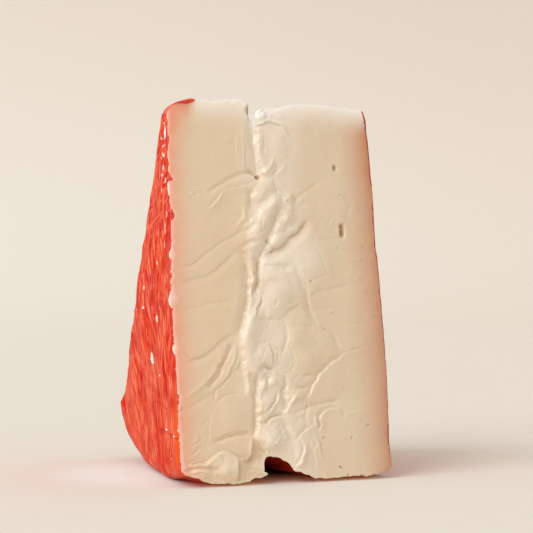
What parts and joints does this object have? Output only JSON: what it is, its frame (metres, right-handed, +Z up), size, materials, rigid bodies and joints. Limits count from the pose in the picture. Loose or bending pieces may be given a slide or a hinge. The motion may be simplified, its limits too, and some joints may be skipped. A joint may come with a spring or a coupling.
{
  "type": "wedge of tomme cheese",
  "caption": "Wedge of a small cheese wheel with a red rind, standing on its rim with the thin end up and a broken cream cut face.",
  "frame": {"origin": "middle of the wedge's box, on the floor that its rim stands on", "axes": "+Z up towards the thin end, -Y towards the broken front cut, X along the wheel's axis"},
  "size_m": [0.0584, 0.0669, 0.0988],
  "materials": {
    "cheese": "satin"
  },
  "bodies": {
    "root": {"cheese": "cheese"}
  },
  "joints": []
}
